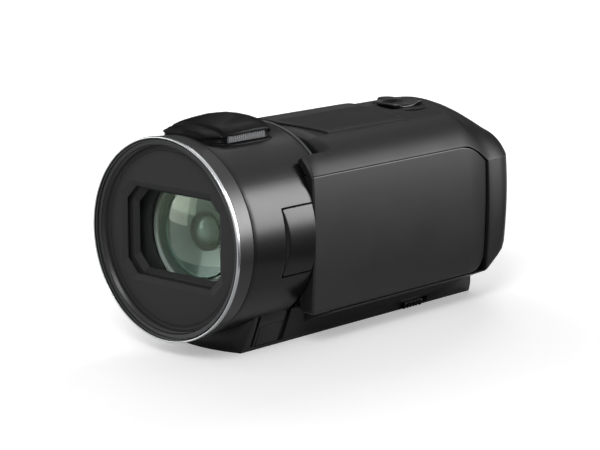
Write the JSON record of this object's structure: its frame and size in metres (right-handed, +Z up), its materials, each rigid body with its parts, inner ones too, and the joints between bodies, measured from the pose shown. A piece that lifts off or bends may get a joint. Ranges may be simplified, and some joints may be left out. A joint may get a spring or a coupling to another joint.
{
  "type": "camcorder",
  "caption": "Handheld camcorder with a round lens barrel, a lens barrier, a hinged side screen, a grip strap, a zoom lever and a rear battery.",
  "frame": {"origin": "mouth of the tripod socket, in the plane of the base under the lens axis", "axes": "+Y from the lens towards the battery, +Z up, +X towards the side screen"},
  "size_m": [0.0859, 0.158, 0.0772],
  "materials": {
    "satin_chrome": "satin",
    "black_barrel": "gloss",
    "black_ring": "satin",
    "baffle_grey": "matte",
    "blade_grey": "matte",
    "coated_glass": "polished",
    "inner_black": "matte",
    "inner_grey": "matte",
    "rod_steel": "polished",
    "screw_brass": "polished",
    "motor_can": "satin",
    "circuit_board": "satin",
    "sheet_metal": "satin",
    "case_charcoal": "satin",
    "top_charcoal": "satin",
    "screen_black": "polished",
    "grille_grey": "satin",
    "control_black": "gloss",
    "battery_black": "satin",
    "contact_gold": "polished",
    "socket_steel": "satin",
    "strap_webbing": "woven",
    "pad_cloth": "matte"
  },
  "bodies": {
    "housing": {"trim_ring": "satin_chrome", "filter_ring": "black_ring", "baffle_plate": "baffle_grey", "barrier_frame": "inner_black", "barrel_shell": "black_barrel", "front_lens": "coated_glass", "lens_retainer": "inner_black", "lens_tube": "inner_grey", "guide_rods": "rod_steel", "zoom_motor": "motor_can", "sensor_block": "circuit_board", "main_board": "circuit_board", "chassis_plate": "sheet_metal", "grip_case": "case_charcoal", "screen_case": "case_charcoal", "top_cover": "top_charcoal", "shoulder_cover": "top_charcoal", "top_plate": "top_charcoal", "base_cover": "case_charcoal", "rear_cover": "case_charcoal", "tripod_socket": "rod_steel", "base_screws": "motor_can", "hinge_bracket": "sheet_metal", "hinge_pin": "rod_steel", "mic_cover": "top_charcoal", "mic_grille": "grille_grey", "mic_capsules": "motor_can", "battery_plate": "inner_black", "battery_contacts": "contact_gold", "jack_sockets": "socket_steel", "card_slot": "socket_steel", "port_sockets": "socket_steel", "supply_socket": "socket_steel", "speaker": "motor_can", "strap_band": "strap_webbing", "strap_pad": "pad_cloth", "strap_bars": "rod_steel"},
    "screen": {"hinge_knuckle": "control_black", "swivel_shaft": "rod_steel", "screen_shell": "top_charcoal", "screen_bezel": "case_charcoal", "screen_glass": "screen_black"},
    "upper_blade": {"upper_blade": "blade_grey"},
    "upper_follower": {"upper_follower": "blade_grey"},
    "lower_blade": {"lower_blade": "blade_grey"},
    "lower_follower": {"lower_follower": "blade_grey"},
    "zoom_group": {"zoom_carriage": "inner_grey", "zoom_lens": "coated_glass"},
    "focus_group": {"focus_carriage": "inner_grey", "focus_lens": "coated_glass"},
    "lead_screw": {"lead_screw": "screw_brass"},
    "zoom_lever": {"zoom_lever": "control_black"},
    "photo_button": {"photo_button": "control_black"},
    "record_button": {"record_button": "control_black"},
    "power_button": {"power_button": "control_black"},
    "play_button": {"play_button": "control_black"},
    "battery": {"battery": "battery_black"},
    "release_lever": {"release_lever": "control_black"},
    "jack_door": {"jack_door": "case_charcoal"},
    "card_door": {"card_door": "case_charcoal"}
  },
  "joints": [
    {"name": "screen_open", "type": "hinge", "parent": "housing", "child": "screen", "pos_m": [0.0296, -0.0428, 0.039], "axis": [0, 0, -1], "range_deg": [0, 90]},
    {"name": "barrier_close", "type": "slide", "parent": "housing", "child": "upper_blade", "axis": [0, 0, -1], "range_m": [0, 0.0151]},
    {"name": "lower_close", "type": "slide", "parent": "housing", "child": "lower_blade", "axis": [0, 0, 1], "range_m": [0, 0.0151]},
    {"name": "upper_follow", "type": "slide", "parent": "housing", "child": "upper_follower", "axis": [0, 0, -1], "range_m": [0, 0.008]},
    {"name": "lower_follow", "type": "slide", "parent": "housing", "child": "lower_follower", "axis": [0, 0, 1], "range_m": [0, 0.008]},
    {"name": "zoom_travel", "type": "slide", "parent": "housing", "child": "zoom_group", "axis": [0, 1, 0], "range_m": [0, 0.02]},
    {"name": "screw_turn", "type": "hinge", "parent": "housing", "child": "lead_screw", "pos_m": [-0.0128, -0.03, 0.039], "axis": [0, 1, 0], "range_deg": [0, 3600]},
    {"name": "focus_travel", "type": "slide", "parent": "housing", "child": "focus_group", "axis": [0, 1, 0], "range_m": [0, 0.008]},
    {"name": "zoom_rock", "type": "hinge", "parent": "housing", "child": "zoom_lever", "pos_m": [0.004, 0.0435, 0.0709], "axis": [0, 0, 1], "range_deg": [-12, 12], "stiffness_Nm_per_rad": 0.05},
    {"name": "photo_press", "type": "slide", "parent": "housing", "child": "photo_button", "axis": [0, 0, -1], "range_m": [0, 0.0008], "stiffness_N_per_m": 400},
    {"name": "record_press", "type": "slide", "parent": "housing", "child": "record_button", "axis": [0, -1, 0], "range_m": [0, 0.0008], "stiffness_N_per_m": 400},
    {"name": "power_press", "type": "slide", "parent": "housing", "child": "power_button", "axis": [-1, 0, 0], "range_m": [0, 0.0005], "stiffness_N_per_m": 400},
    {"name": "play_press", "type": "slide", "parent": "housing", "child": "play_button", "axis": [-1, 0, 0], "range_m": [0, 0.0005], "stiffness_N_per_m": 400},
    {"name": "battery_lift", "type": "slide", "parent": "housing", "child": "battery", "axis": [0, 0, 1], "range_m": [0, 0.045]},
    {"name": "release_slide", "type": "slide", "parent": "housing", "child": "release_lever", "axis": [0, 1, 0], "range_m": [0, 0.0035], "stiffness_N_per_m": 150},
    {"name": "jack_door_open", "type": "hinge", "parent": "housing", "child": "jack_door", "pos_m": [0.01708, -0.0439, 0.00515], "axis": [-0.3511, 0, -0.9363], "range_deg": [0, 95]},
    {"name": "card_door_open", "type": "hinge", "parent": "housing", "child": "card_door", "pos_m": [0, 0.0148, 0.0012], "axis": [-1, 0, 0], "range_deg": [0, 90]}
  ],
  "couplings": [
    {"joint": "lower_close", "follows": "barrier_close", "ratio": 1},
    {"joint": "upper_follow", "follows": "barrier_close", "ratio": 0.52},
    {"joint": "lower_follow", "follows": "barrier_close", "ratio": 0.52},
    {"joint": "screw_turn", "follows": "zoom_travel", "rad_per_m": 3141.6}
  ]
}
